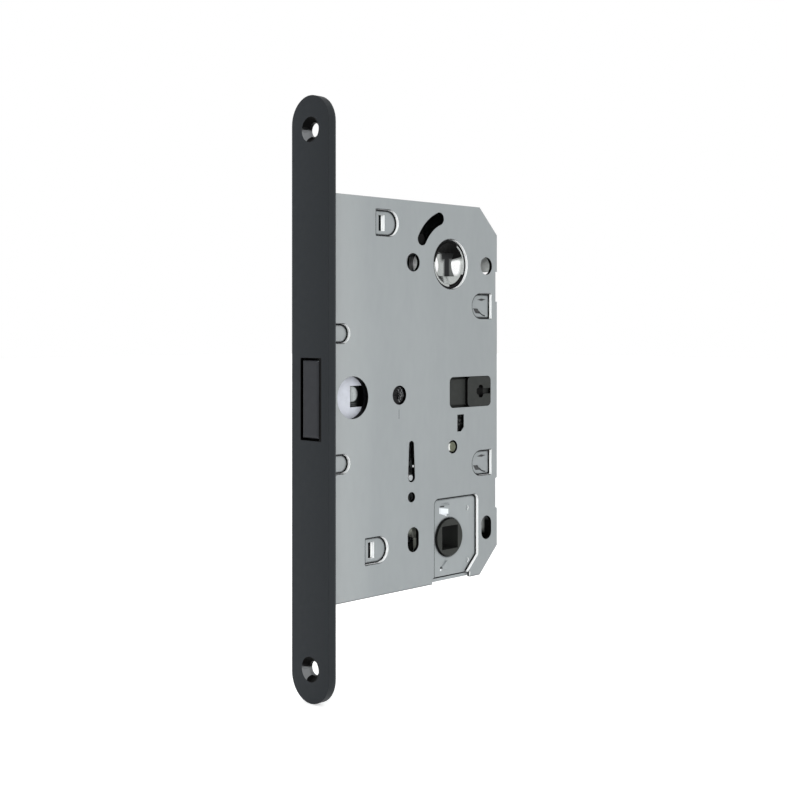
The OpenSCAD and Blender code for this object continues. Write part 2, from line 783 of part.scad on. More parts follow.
// Shouldered pin, riveted in the tray and reaching the cover
module lever_pivot() {
  color("khaki") {
    slab(y_cover + 0.6, y_tray) disc([pivot_x, pivot_z], pivot_d / 2);
    translate([pivot_x, y_cover + 0.1, pivot_z]) rotate([-90, 0, 0])
      cylinder(h = 0.5, r1 = pivot_d / 2 - 0.5, r2 = pivot_d / 2);
    slab(lever_y1 + 0.1, y_back) disc([pivot_x, pivot_z], pivot_d / 2 + 1.2);
  }
}

// Bell-crank: its right arm is pushed down, its upper arm pulls the latch in
module transfer_lever() {
  at = [pivot_x, pivot_z];
  color("lightgray") difference() {
    union() {
      slab(lift_y0, lever_y1) {
        link(at, [peg_x, peg_z], boss_r - 1, peg_r + 1.1);
        link(at, lever_tip, 1.2, 1.2);
        disc(lever_tip, tip_r);
      }
      slab(tail_y0, lever_y1) disc(at, boss_r);
    }
    slab(tail_y0 - 1, lever_y1 + 1) {
      disc(at, pivot_d / 2 + turn_gap);
      disc([peg_x, peg_z], peg_r + press_gap);
    }
  }
}

module lever_peg() {
  color("silver") slab(tail_y0 - 0.3, lever_y1) disc([peg_x, peg_z], peg_r);
}

// Torsion spring that holds the lever up against the lift slide
module lever_spring() {
  color("gainsboro") wire(coil([pivot_x, pivot_z], pivot_d / 2 + 1, pan_y + 0.1, tail_y0 - 0.4,
    200, 200 + 360 * 2 + 60, 36, 8), 0.25, [0, 1, 0]);
}

// Bezel behind the selector's window, with two grooves for the button's wings and a lug below
module selector_bezel() {
  half = window_h / 2;
  color([0.16, 0.16, 0.17]) difference() {
    union() {
      slab(y_in, y_in + bezel_t) box2(window_x0 - 1.5, window_z - half - wing - 1.2,
        window_x0 + window_l + 1.5, window_z + half + wing + 1.2, 1);
      slab(y_in, y_in + 1.5) box2(backset + 1, -15, backset + 9, window_z - half);
    }
    slab(y_in - 1, y_in + wing_t) for (s = [-1, 1]) {
      z = window_z + s * (half + (wing - wing_in) / 2);
      box2(window_x0 + 0.6, z - (wing + wing_in) / 2, window_x0 + window_l + 0.4, z + (wing + wing_in) / 2);
    }
  }
}

// Square button with a cross recess, kept in its grooves by two wings
module selector_button() {
  x1 = window_x0 + window_l - button_gap;
  x0 = x1 - button_l;
  half = window_h / 2;
  cross = [x1 - 5.3, window_z];
  color([0.2, 0.2, 0.21]) difference() {
    union() {
      slab(y_cover, y_in - 0.05)
        box2(x0, window_z - half + button_gap, x1, window_z + half - button_gap, window_r - 0.2);
      for (s = [-1, 1]) {
        z = window_z + s * (half + (wing - wing_in) / 2);
        w = (wing + wing_in) / 2 - button_gap;
        z_in = window_z + s * (half - (wing_in + button_gap) / 2);
        slab(y_in + 0.1, y_in + wing_t - button_gap) box2(x0 + 0.6, z - w, x1 - 0.6, z + w);
        slab(y_in - 0.15, y_in + wing_t - button_gap)
          box2(x0 + window_r, z_in - (wing_in - button_gap) / 2, x1 - window_r, z_in + (wing_in - button_gap) / 2);
      }
    }
    slab(y_cover - 1, y_cover + 0.9) {
      for (a = [0, 90]) translate(cross) rotate(a) box2(-2.3, -1.2, 2.3, 1.2, 0.9);
      box2(cross[0], window_z - 1, x1 + 1, window_z + 1);
    }
  }
}

// Slot of the drive flange: the pin's straight path seen from the turning flange
function drive_point(f) =
  let (a = turn * f, x = -drive_x, z = lock_travel * (f - 0.5))
    [backset + x * cos(a) - z * sin(a), turn_z + x * sin(a) + z * cos(a)];

module drive_slot() {
  w = drive_r + drive_gap;
  n = 12;
  path = [for (i = [0:n]) drive_point(i / n)];
  side = [for (i = [0:n]) let (t = path[min(i + 1, n)] - path[max(i - 1, 0)]) [-t[1], t[0]] / norm(t)];
  polygon(concat([for (i = [0:n]) path[i] + w * side[i]], [for (i = [n:-1:0]) path[i] - w * side[i]]));
  disc(path[0], w);
  disc(path[n], w);
}

// Plastic follower for the privacy turn, with a flange that drives the locking slide
module privacy_follower() {
  at = [backset, turn_z];
  flange_r = norm([drive_x, lock_travel / 2]) + drive_r + 1.2;
  mid = 180 + turn / 2;
  far = 2 * flange_r;
  color([0.2, 0.2, 0.21]) difference() {
    union() {
      slab(turn_y0, y_tray - 0.2) disc(at, turn_r);
      slab(lift_y0, lift_y1) difference() {
        intersection() {
          disc(at, flange_r);
          translate(at) polygon([[0, 0], far * [cos(mid - 36), sin(mid - 36)],
            far * [cos(mid), sin(mid)], far * [cos(mid + 36), sin(mid + 36)]]);
        }
        drive_slot();
      }
    }
    slab(turn_y0 - 1, y_tray + 1) translate(at) square(spindle + 2 * turn_gap, center = true);
  }
}

// Locking slide: a nose under the tail, a bar between two posts, and a leg with the drive pin and a rounded heel
module lock_slide() {
  drive_z = turn_z - lock_travel / 2;
  heel_r = 2.9;
  bar_x0 = lock_x - lock_bar_w / 2;
  bar_x1 = lock_x + lock_bar_w / 2;
  color("lightgray") {
    slab(lock_y0, lock_y1) {
      box2(nose_x, nose_z - 8, nose_x + nose_w, nose_z);
      difference() {
        box2(bar_x0, lock_bar_z, bar_x1, nose_z - 7);
        disc([lock_x, front_peg_z], 1 + press_gap);
      }
      box2(bar_x0 + 2, turn_z + 7.8, lock_leg_x1, lock_bar_z + 0.1);
      box2(lock_leg_x1 - 4.2, drive_z - 2.6, lock_leg_x1, turn_z + 8);
      link([lock_leg_x1 - heel_r - 1.4, turn_z + 8], [lock_leg_x1 - heel_r - 1.4, turn_z + 3.3], heel_r, heel_r);
    }
    slab(lock_y1 - 0.1, lift_y1 - 0.3) disc([backset - drive_x, drive_z], drive_r);
  }
}

module lock_peg() {
  color("white") slab(y_cover + 0.4, lock_y1) disc([lock_x, front_peg_z], 1);
}

// Over-centre wire: a coil with one leg down on the tray side and one above the locking slide's peg
module lock_spring() {
  r = 2;
  wire_r = 0.3;
  at = [lock_x + 8.6, front_peg_z + 1 + wire_r + touch - r];
  color("gainsboro")
    wire(coil(at, r, lock_y0 - 0.6, lock_y0 - 3.2, -20, 90 + 720, 32, 10.5), wire_r, [0, 1, 0]);
}

forend();
upper_bracket();
lower_bracket();
case_tray();
case_cover();
privacy_plate();
upper_tie();
lower_tie();
latch_guide();
spring_rod();
latch_spring();
latch_cap();
latch_body();
latch_magnet();
latch_pins();
latch_tail();
adjuster();
front_bush();
rear_bush();
handle_follower();
handle_spring();
lift_slide();
slide_guide();
lever_pivot();
transfer_lever();
lever_peg();
lever_spring();
selector_bezel();
selector_button();
privacy_follower();
lock_slide();
lock_peg();
lock_spring();
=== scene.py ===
import math

import bmesh
import bpy
from mathutils import Matrix, Vector


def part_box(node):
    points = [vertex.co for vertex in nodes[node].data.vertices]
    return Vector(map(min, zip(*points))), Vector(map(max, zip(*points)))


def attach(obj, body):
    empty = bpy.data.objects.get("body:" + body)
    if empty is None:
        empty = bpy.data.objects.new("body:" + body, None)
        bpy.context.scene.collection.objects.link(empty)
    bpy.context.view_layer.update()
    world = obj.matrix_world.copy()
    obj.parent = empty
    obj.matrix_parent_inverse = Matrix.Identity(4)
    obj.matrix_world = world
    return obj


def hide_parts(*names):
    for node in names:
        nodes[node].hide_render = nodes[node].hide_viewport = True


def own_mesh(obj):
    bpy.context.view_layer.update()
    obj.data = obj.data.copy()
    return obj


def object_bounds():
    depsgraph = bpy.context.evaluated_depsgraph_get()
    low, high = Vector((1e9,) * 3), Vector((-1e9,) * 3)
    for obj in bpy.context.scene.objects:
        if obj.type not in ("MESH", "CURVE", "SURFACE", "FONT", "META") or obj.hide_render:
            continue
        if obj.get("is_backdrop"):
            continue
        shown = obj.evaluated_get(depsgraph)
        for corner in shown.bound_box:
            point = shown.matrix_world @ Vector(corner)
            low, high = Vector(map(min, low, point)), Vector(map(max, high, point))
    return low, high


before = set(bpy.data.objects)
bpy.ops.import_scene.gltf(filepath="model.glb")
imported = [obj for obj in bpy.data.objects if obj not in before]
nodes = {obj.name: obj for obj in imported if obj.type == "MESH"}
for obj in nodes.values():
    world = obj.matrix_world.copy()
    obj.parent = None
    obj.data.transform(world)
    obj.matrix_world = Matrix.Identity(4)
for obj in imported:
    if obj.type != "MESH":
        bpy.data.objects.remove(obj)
frame_low, frame_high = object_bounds()

# ---------------------------------------------------------------- case tray, brackets and ties
# The rear half of the case: zinc-plated steel sheet, blanked and bent up on three sides, with the two forend brackets
# and the two flat ties of the same sheet. Plated after blanking, so only its edges are rubbed brighter.


def add_node(tree, kind, inputs=(), **settings):
    """Adds a shader node. inputs are (socket, value) pairs, where a value may be another node's output."""
    node = tree.nodes.new(kind)
    for key, value in settings.items():
        setattr(node, key, value)
    for socket, value in inputs:
        if isinstance(value, bpy.types.NodeSocket):
            tree.links.new(value, node.inputs[socket])
        else:
            node.inputs[socket].default_value = value
    return node


def maths(tree, operation, *values):
    return add_node(tree, "ShaderNodeMath", enumerate(values), operation=operation).outputs[0]


def less(tree, value, limit):
    return maths(tree, "LESS_THAN", value, limit)


def more(tree, value, limit):
    return maths(tree, "GREATER_THAN", value, limit)


def both(tree, first, *others):
    """The product of masks: 1 only where all of them are 1."""
    for other in others:
        first = maths(tree, "MULTIPLY", first, other)
    return first


def inside(tree, along, centre, half):
    """1 where a coordinate lies within half of a centre, in millimetres."""
    return maths(tree, "COMPARE", along, centre / 1000, half / 1000)


def split(tree, vector):
    """The X, Y and Z of a vector."""
    return add_node(tree, "ShaderNodeSeparateXYZ", ((0, vector),)).outputs


def coordinates(tree):
    """The piece's own X, Y and Z."""
    return split(tree, add_node(tree, "ShaderNodeTexCoord").outputs["Object"])


def ramp(tree, value, a, b, at_a, at_b):
    """Runs from at_a to at_b while value runs from a to b, and holds there."""
    inputs = (("Value", value), ("From Min", a), ("From Max", b), ("To Min", at_a), ("To Max", at_b))
    return add_node(tree, "ShaderNodeMapRange", inputs).outputs["Result"]


def cloud(tree, scale, detail=3.0, stretch=(1, 1, 1)):
    """Noise over the piece; scale counts its patches per metre."""
    place = add_node(tree, "ShaderNodeTexCoord").outputs["Object"]
    place = add_node(tree, "ShaderNodeMapping", (("Vector", place), ("Scale", stretch))).outputs[0]
    inputs = (("Vector", place), ("Scale", scale), ("Detail", detail))
    return add_node(tree, "ShaderNodeTexNoise", inputs).outputs["Fac"]


def lay_over(tree, shader, factor, colour=None, rough=None, metal=None):
    """Where factor is 1 the surface has this colour, roughness and metalness in place of what it had."""
    changes = (("Base Color", colour, "RGBA", 6, 7, 2), ("Roughness", rough, "FLOAT", 2, 3, 0))
    for name, value, kind, old, new, result in (*changes, ("Metallic", metal, "FLOAT", 2, 3, 0)):
        if value is None:
            continue
        socket = shader.inputs[name]
        before = socket.links[0].from_socket if socket.links else socket.default_value
        after = (*value, 1) if kind == "RGBA" else value
        mix = add_node(tree, "ShaderNodeMix", ((0, factor), (old, before), (new, after)), data_type=kind)
        tree.links.new(mix.outputs[result], socket)


def new_finish(name, light, dark, metal, rough, spread, patches, rounding, relief, worn, stretch=(1, 1, 1),
               gloss=0.5):
    """A finish that wanders from dark to light, with fine relief, rounded edges, and worn, its colour along them.

    spread is how far the roughness wanders, patches their number per metre, rounding a radius in metres. Gives the
    material, its tree, its shader and the direction that the surface faces, before any rounding."""
    material = bpy.data.materials.new(name)
    material.use_nodes = True
    tree = material.node_tree
    tree.nodes.clear()
    shader = add_node(tree, "ShaderNodeBsdfPrincipled")
    add_node(tree, "ShaderNodeOutputMaterial", (("Surface", shader.outputs[0]),))
    shader.inputs["Metallic"].default_value = metal
    shader.inputs["Specular IOR Level"].default_value = gloss
    broad = cloud(tree, patches, 3.0, stretch)
    shader.inputs["Base Color"].default_value = (*light, 1)
    lay_over(tree, shader, ramp(tree, broad, 0.35, 0.65, 1, 0), dark)
    fine = cloud(tree, patches * 7, 2.0, stretch)
    tree.links.new(ramp(tree, fine, 0.3, 0.7, rough - spread, rough + spread), shader.inputs["Roughness"])
    soft = add_node(tree, "ShaderNodeBevel", (("Radius", rounding),), samples=4).outputs[0]
    flat = add_node(tree, "ShaderNodeNewGeometry").outputs["True Normal"]
    edge = add_node(tree, "ShaderNodeVectorMath", ((0, soft), (1, flat)), operation="DOT_PRODUCT").outputs["Value"]
    edge = ramp(tree, edge, 0.995, 0.9, 0, 1)
    wear_and_light = both(tree, edge, ramp(tree, cloud(tree, patches * 3), 0.35, 0.65, 0.3, 1))
    lay_over(tree, shader, wear_and_light, worn, rough * 0.8)
    bump = (("Strength", relief), ("Distance", 0.00003), ("Height", fine), ("Normal", soft))
    tree.links.new(add_node(tree, "ShaderNodeBump", bump).outputs[0], shader.inputs["Normal"])
    return material, tree, shader, flat


def give(material, *names):
    for name in names:
        nodes[name].data.materials.clear()
        nodes[name].data.materials.append(material)


black = (0.006, 0.006, 0.006)
white = (0.95, 0.95, 0.95)
shine = (0.95, 0.96, 0.96)


def plated_sheet(name):
    return new_finish(
        name, (0.336, 0.358, 0.366), (0.316, 0.338, 0.346), metal=0.45, rough=0.5, spread=0.04,
        patches=70, rounding=0.00012, relief=0.10, worn=(0.41, 0.43, 0.435), stretch=(1, 1, 0.3))


give(plated_sheet("plated_sheet")[0], "upper_bracket", "lower_bracket")

# The ties' ends stand in the slits of their two D pressings, painted dark as the shade in the slits, with a strip of
# each painted bright as a highlight.
tie_end, tree, shader, _ = plated_sheet("tie_sheet")
x, y, z = coordinates(tree)
lay_over(tree, shader, less(tree, y, -0.0035), (0.006, 0.006, 0.007), 0.6, 1.0)
for centre_x in (28.3, 23.4):
    half = both(tree, inside(tree, x, centre_x, 0.7), less(tree, y, -0.0043))
    lay_over(tree, shader, half, shine, 0.4, 0.0)
give(tie_end, "upper_tie", "lower_tie")

# ---------------------------------------------------------------- case cover
# The flat side towards the camera: the same plated sheet, with pressings drawn inwards and holes punched through.
# The drawn walls are painted bright as highlights, the punched ones painted dark as shade, and a painted line of shade
# runs round each pressing.


def either(tree, first, *others):
    """The larger of masks: 1 where any of them is 1."""
    for other in others:
        first = maths(tree, "MAXIMUM", first, other)
    return first


def but_not(tree, mask):
    return maths(tree, "SUBTRACT", 1.0, mask)


def patch(tree, x, z, box):
    """1 inside a box of X and Z, in millimetres."""
    x0, x1, z0, z1 = box
    return both(tree, inside(tree, x, (x0 + x1) / 2, (x1 - x0) / 2), inside(tree, z, (z0 + z1) / 2, (z1 - z0) / 2))


def ring(tree, x, z, centre):
    """Distance from a centre in X and Z, in millimetres."""
    level = add_node(tree, "ShaderNodeCombineXYZ", ((0, x), (2, z))).outputs[0]
    middle = (centre[0] / 1000, 0, centre[1] / 1000)
    away = add_node(tree, "ShaderNodeVectorMath", ((0, level), (1, middle)), operation="DISTANCE").outputs["Value"]
    return maths(tree, "MULTIPLY", away, 1000.0)


def openness(tree, reach, **settings):
    """Ambient occlusion: 1 in the open, falling to 0 where other surfaces come within reach."""
    inputs = (("Distance", reach),)
    return add_node(tree, "ShaderNodeAmbientOcclusion", inputs, samples=8, **settings).outputs["AO"]


def clear_of_walls(tree, x, z, half_height, corner):
    """1 away from the case's bent walls and, where X and Z add up to less than corner, its cut corners."""
    added = maths(tree, "ADD", x, maths(tree, "ABSOLUTE", z))
    return both(tree, less(tree, x, 0.0838), inside(tree, z, 0.2, half_height), less(tree, added, corner / 1000))


cover, tree, shader, flat = plated_sheet("plated_cover")
x, y, z = coordinates(tree)
pressings = [  # each a box of X and Z: two D pressings, two reversed ones, two half ones, and the privacy plate's
    (22.8, 34.6, 53.2, 63.1),
    (17.9, 29.7, -55.6, -45.8),
    (70.8, 82.5, 25.8, 35.8),
    (70.8, 82.5, -30.7, -20.7),
    (2.0, 12.2, 17.5, 25.0),
    (2.0, 12.2, -24.7, -17.2),
    (51.0, 75.4, -66.5, -36.0),
]
drawn = either(tree, *(patch(tree, x, z, box) for box in pressings))
hub_centre = (60, 45.4)
drawn = either(tree, drawn, less(tree, ring(tree, x, z, hub_centre), 9.6))
side = split(tree, flat)
wall = ramp(tree, maths(tree, "ABSOLUTE", side[1]), 0.45, 0.75, 1, 0)
within = clear_of_walls(tree, x, z, 64.6, 138.5)
# Painted light: lighter towards the forend with a painted highlight along its front edge, and painted shade darker
# towards the rear and the bottom
lay_over(tree, shader, ramp(tree, x, 0.003, 0.022, 0.9, 0), (0.40, 0.42, 0.425))
lay_over(tree, shader, less(tree, x, 0.0039), (0.60, 0.62, 0.625), 0.4)
falloff_shade = both(tree, ramp(tree, x, 0.02, 0.085, 0, 1), ramp(tree, z, 0.04, -0.05, 0.35, 1))
lay_over(tree, shader, falloff_shade, (0.292, 0.311, 0.318))
# Painted shade: the walls of the punched holes are painted near black
punched = both(tree, wall, within, but_not(tree, drawn))
lay_over(tree, shader, punched, black, 0.6, 1.0)
# Painted highlight: a white fleck on one wall of the tapered slot
fleck_highlight = both(tree, wall, patch(tree, x, z, (41.0, 42.5, -24.6, -23.9)), more(tree, y, -0.0061))
lay_over(tree, shader, fleck_highlight, white, 0.4, 0.0)
# Painted highlight: the walls of the drawn pressings are painted bright
lay_over(tree, shader, both(tree, wall, drawn), shine, 0.35, 0.0)
# Painted shade: the drawn walls along the bottom are painted dark grey
low = less(tree, z, -0.0637)
lay_over(tree, shader, both(tree, wall, drawn, low), (0.05, 0.052, 0.054), 0.5, 0.5)
# Painted shade: a near black band at the foot of the drawn walls that face the forend
wall_foot_shade = both(tree, wall, drawn, inside(tree, y, -5.43, 0.19), less(tree, side[0], -0.5))
lay_over(tree, shader, wall_foot_shade, (0.010, 0.010, 0.011), 0.6, 0.8)
# Painted shade: a near black line in the crease round each pressing's floor and along its front edges, except those
# that face the forend
crease_shade = ramp(tree, openness(tree, 0.0009, only_local=True), 0.80, 0.96, 1, 0)
crease_shade = both(tree, drawn, crease_shade, more(tree, y, -0.00545), but_not(tree, wall))
wide = add_node(tree, "ShaderNodeBevel", (("Radius", 0.0005),), samples=8).outputs[0]
bent = add_node(tree, "ShaderNodeVectorMath", ((0, wide), (1, flat)), operation="DOT_PRODUCT").outputs["Value"]
lean = split(tree, wide)
bent = both(tree, drawn, ramp(tree, bent, 0.998, 0.98, 0, 1))
shaded_lip = both(tree, bent, less(tree, y, -0.0062), ramp(tree, lean[0], -0.2, -0.1, 0, 1))
lay_over(tree, shader, either(tree, crease_shade, shaded_lip), (0.012, 0.012, 0.013), 0.6, 0.8)
# Painted highlight: a bright line along the front edges of the pressings that face the forend
rim_highlight = both(tree, bent, less(tree, y, -0.0055), ramp(tree, lean[0], -0.1, -0.2, 0, 1))
lay_over(tree, shader, rim_highlight, (0.93, 0.94, 0.94), 0.35, 0.0)
# The zero line that the fitter scribes below the adjuster
scribed = patch(tree, x, z, (34.0, 34.2, -7.7, -4.5))
lay_over(tree, shader, both(tree, scribed, less(tree, y, -0.0063)), (0.07, 0.072, 0.075), 0.6, 0.2)
# and the shadow line where its lower edge laps the tray
lay_over(tree, shader, less(tree, z, -0.06565), (0.1, 0.105, 0.108), 0.6, 0.2)
give(cover, "case_cover")

# Inside, the tray is painted light behind the rose hole, and painted dark as shade behind the privacy slot and the
# curved slot, with a patch of painted light on its rear wall in the privacy slot.
tray, tree, shader, flat = plated_sheet("plated_tray")
x, y, z = coordinates(tree)
hollow = both(tree, inside(tree, y, 0, 5.35), clear_of_walls(tree, x, z, 64.5, 140.0))
# Painted light behind the rose hole, painted shade behind the two slots, painted light on the rear wall
bright = both(tree, hollow, patch(tree, x, z, (78.0, 86.0, 40.0, 51.0)))
lay_over(tree, shader, bright, (0.82, 0.84, 0.82), 0.5, 0.0)
low_shade = both(tree, hollow, more(tree, x, 0.070), ramp(tree, z, -0.0445, -0.0475, 0, 1))
lay_over(tree, shader, low_shade, black, 0.5, 1.0)
slot_shade = both(tree, hollow, patch(tree, x, z, (48.0, 72.0, 53.0, 66.0)))
lay_over(tree, shader, slot_shade, (0.07, 0.072, 0.072), 0.5, 0.8)
lit_rear_wall = both(tree, patch(tree, x, z, (83.0, 83.8, -56.0, -45.5)), ramp(tree, y, -0.0021, -0.0008, 0, 1),
             ramp(tree, z, -0.0525, -0.0500, 0, 1), hollow)
lay_over(tree, shader, lit_rear_wall, (0.7, 0.72, 0.7), 0.5, 0.0)
seam = both(tree, inside(tree, z, -64.3, 0.12), less(tree, y, -0.003), more(tree, x, 0.05))
lay_over(tree, shader, seam, black, 0.5, 1.0)
give(tray, "case_tray")

# ---------------------------------------------------------------- stakes in the reversed D pressings
# The ends of the tray's two lugs, struck flat in the pressings by a blunt punch: small dark steel lozenges with the
# curved burr that the punch turned up beside them.


def placed(name, bm, material, body):
    """Makes the finished bmesh, in millimetres, a piece that rides on a body."""
    bmesh.ops.scale(bm, verts=bm.verts, vec=(0.001, 0.001, 0.001))
    bmesh.ops.recalc_face_normals(bm, faces=bm.faces)
    mesh = bpy.data.meshes.new(name)
    bm.to_mesh(mesh)
    bm.free()
    mesh.materials.append(material)
    piece = bpy.data.objects.new(name, mesh)
    bpy.context.scene.collection.objects.link(piece)
    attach(piece, body)
    return piece


def turn(bm, verts, degrees, axis):
    bmesh.ops.rotate(bm, verts=verts, cent=(0, 0, 0), matrix=Matrix.Rotation(math.radians(degrees), 3, axis))


def close_ends(bm):
    bmesh.ops.holes_fill(bm, edges=[edge for edge in bm.edges if edge.is_boundary], sides=0)


stake, tree, shader, _ = new_finish(
    "struck_steel", (0.07, 0.072, 0.074), (0.03, 0.031, 0.032), metal=0.6, rough=0.45, spread=0.1,
    patches=900, rounding=0.00005, relief=0.4, worn=(0.3, 0.31, 0.31))


def struck(name, length, height, tilt, x, z):
    """A low lozenge with softened edges on the floor of a pressing."""
    bm = bmesh.new()
    bmesh.ops.create_circle(bm, cap_ends=True, segments=4, radius=0.5)
    bmesh.ops.scale(bm, verts=bm.verts, vec=(length, height, 1))
    turn(bm, bm.verts, tilt, "Z")
    raised = bmesh.ops.extrude_face_region(bm, geom=bm.faces[:])["geom"]
    bmesh.ops.translate(bm, verts=[v for v in raised if isinstance(v, bmesh.types.BMVert)], vec=(0, 0, 0.25))
    turn(bm, bm.verts, 90, "X")
    bmesh.ops.translate(bm, verts=bm.verts, vec=(x, -5.2, z))
    bmesh.ops.bevel(bm, geom=bm.edges[:], offset=0.06, offset_type="OFFSET", segments=2, profile=0.5, affect="EDGES",
                    material=-1)
    placed(name, bm, stake, "case")


burr_radius = 4.0
for label, centre_z in (("upper", 30.8), ("lower", -25.7)):
    struck(f"{label}_stake", 4.1, 1.9, -26, 75.0, centre_z - 1.7)
    struck(f"{label}_stake_top", 4.6, 0.85, 2, 77.6, centre_z + 2.4)
    bm = bmesh.new()
    section = bmesh.ops.create_circle(bm, cap_ends=False, segments=8, radius=0.2)["verts"]
    bmesh.ops.translate(bm, verts=section, vec=(burr_radius, 0, 0))
    turn(bm, section, 90, "X")
    turn(bm, section, 92, "Y")
    bmesh.ops.spin(bm, geom=bm.edges[:], cent=(0, 0, 0), axis=(0, 1, 0), angle=math.radians(48), steps=12)
    close_ends(bm)
    bmesh.ops.translate(bm, verts=bm.verts, vec=(79.6, -5.3, centre_z + 0.6))
    placed(f"{label}_stake_burr", bm, stake, "case")

# ---------------------------------------------------------------- privacy plate
# A separate plate of the same sheet round the privacy follower, clinched to the case: two tabs sheared out of it, one
# square and one three-cornered, and two round dimples. Painted shade lies in its creases and painted highlights on the
# dimples and the tabs.
plate, tree, shader, flat = plated_sheet("plated_plate")
x, y, z = coordinates(tree)
side = split(tree, flat)
# Painted shade: a near black line in the creases of its face, clear of the two tabs
crease_shade = ramp(tree, openness(tree, 0.0010), 0.76, 0.95, 1, 0)
front = less(tree, side[1], -0.9)
sheared = either(tree, patch(tree, x, z, (55.0, 60.0, -43.6, -38.8)), patch(tree, x, z, (55.0, 60.0, -62.6, -58.4)))
crease_shade = both(tree, crease_shade, inside(tree, y, -5.35, 0.12), front, but_not(tree, sheared))
lay_over(tree, shader, crease_shade, (0.010, 0.011, 0.012), 0.6, 0.8)
# Painted shade at the square tab's shear line and at a spot by the three-cornered tab, with a painted highlight glint
slot = patch(tree, x, z, (55.6, 57.4, -39.8, -39.4))
spot = less(tree, ring(tree, x, z, (56.2, -61.1)), 0.5)
lay_over(tree, shader, both(tree, either(tree, slot, spot), front), (0.02, 0.021, 0.022), 0.6, 0.6)
glint = less(tree, ring(tree, x, z, (56.0, -61.8)), 0.38)
lay_over(tree, shader, glint, (0.85, 0.87, 0.88), 0.4, 0.0)
# Painted highlight: the dimples' sides towards the forend
dimple = both(tree, inside(tree, y, -5.05, 0.22), less(tree, side[0], -0.3))
lay_over(tree, shader, dimple, shine, 0.35, 0.0)
# Painted highlight: the square tab's face
bright = both(tree, front, patch(tree, x, z, (55.3, 59.1, -43.4, -39.9)),
              less(tree, maths(tree, "MULTIPLY_ADD", x, 0.15, z), -0.03174),
              more(tree, maths(tree, "MULTIPLY_ADD", x, 0.33, z), -0.02376))
lay_over(tree, shader, bright, (0.80, 0.83, 0.86), 0.35, 0.0)
give(plate, "privacy_plate")

# ---------------------------------------------------------------- sleeve and slide guide
# Black acetal mouldings: the sleeve that the latch runs in, with its tongue under the adjuster, and the channel of the
# lift slide. Slightly waxy, with the fine spark texture of the mould.
acetal, tree, shader, _ = new_finish(
    "black_acetal", (0.006, 0.006, 0.007), (0.004, 0.004, 0.005), metal=0.0, rough=0.45, spread=0.06,
    patches=600, rounding=0.0001, relief=0.25, worn=(0.012, 0.012, 0.013), gloss=0.06)
give(acetal, "latch_guide", "slide_guide")

# ---------------------------------------------------------------- latch
# Cast zinc body with a dark, smooth front cap, a nickel-plated magnet in its side light, two cross pins, and a flat
# steel tail with its return spring on a rod. The casting keeps its matt skin; the steel parts are cold rolled.
casting, tree, shader, _ = new_finish(
    "cast_zinc", (0.68, 0.70, 0.77), (0.62, 0.64, 0.70), metal=0.2, rough=0.5, spread=0.06,
    patches=420, rounding=0.00015, relief=0.35, worn=(0.72, 0.72, 0.78))
x, y, z = coordinates(tree)
# Painted shade: near black inside the side light's recess and over the body's rear part
recess = both(tree, more(tree, y, -0.0039), patch(tree, x, z, (13.7, 20.9, -5.0, 6.0)))
lay_over(tree, shader, recess, (0.006, 0.006, 0.007), 0.6, 1.0)
lay_over(tree, shader, more(tree, x, 0.01975), (0.006, 0.006, 0.007), 0.6, 1.0)
give(casting, "latch_body")

plating, tree, shader, _ = new_finish(
    "bright_nickel", (0.48, 0.51, 0.51), (0.4, 0.43, 0.43), metal=0.4, rough=0.3, spread=0.05,
    patches=300, rounding=0.0005, relief=0.05, worn=(0.75, 0.77, 0.77))
x, y, z = coordinates(tree)
# Painted shade: dark outside a round lit patch on its face. Lower down and nearer the forend it is darker in fine
# horizontal stripes.
pole = ring(tree, x, z, (15.6, 1.2))
lay_over(tree, shader, ramp(tree, pole, 2.3, 2.7, 0, 1), (0.008, 0.009, 0.009), 0.5, 0.8)
below = both(tree, ramp(tree, z, -0.0014, -0.0018, 0, 1), ramp(tree, x, 0.0152, 0.0180, 1, 0))
lines = ramp(tree, maths(tree, "SINE", maths(tree, "MULTIPLY", z, 9000.0)), -1, 1, 0.35, 1)
lay_over(tree, shader, both(tree, below, lines), (0.10, 0.11, 0.11), 0.5, 0.3)
give(plating, "latch_magnet")

# Its lighter worn edges are partly a painted highlight along its rims.
cap, tree, shader, flat = new_finish(
    "cap_coating", (0.0215, 0.0225, 0.026), (0.019, 0.020, 0.0235), metal=0.0, rough=0.42, spread=0.05,
    patches=350, rounding=0.0003, relief=0.12, worn=(0.11, 0.113, 0.12), gloss=0.15)
# Painted shade: near black on its sides where they stand close to the forend's window
gap_shade = ramp(tree, openness(tree, 0.0015), 0.5, 0.9, 1, 0)
gap_shade = both(tree, gap_shade, more(tree, split(tree, flat)[0], -0.6))
lay_over(tree, shader, gap_shade, (0.002, 0.002, 0.002), 0.6, 1.0)
give(cap, "latch_cap")

rolled, tree, shader, _ = new_finish(
    "rolled_steel", (0.5, 0.51, 0.51), (0.4, 0.41, 0.41), metal=0.85, rough=0.36, spread=0.07,
    patches=260, rounding=0.00012, relief=0.15, worn=(0.68, 0.69, 0.69), stretch=(1, 1, 0.15))
give(rolled, "latch_tail", "latch_pins", "spring_rod", "transfer_lever", "lever_peg", "lift_slide")

# All the springs are of bright drawn wire.
wire, tree, shader, _ = new_finish(
    "spring_wire", (0.62, 0.62, 0.61), (0.5, 0.5, 0.49), metal=0.95, rough=0.3, spread=0.06,
    patches=500, rounding=0.00005, relief=0.08, worn=(0.75, 0.75, 0.74))
give(wire, "handle_spring", "lever_spring", "lock_spring")

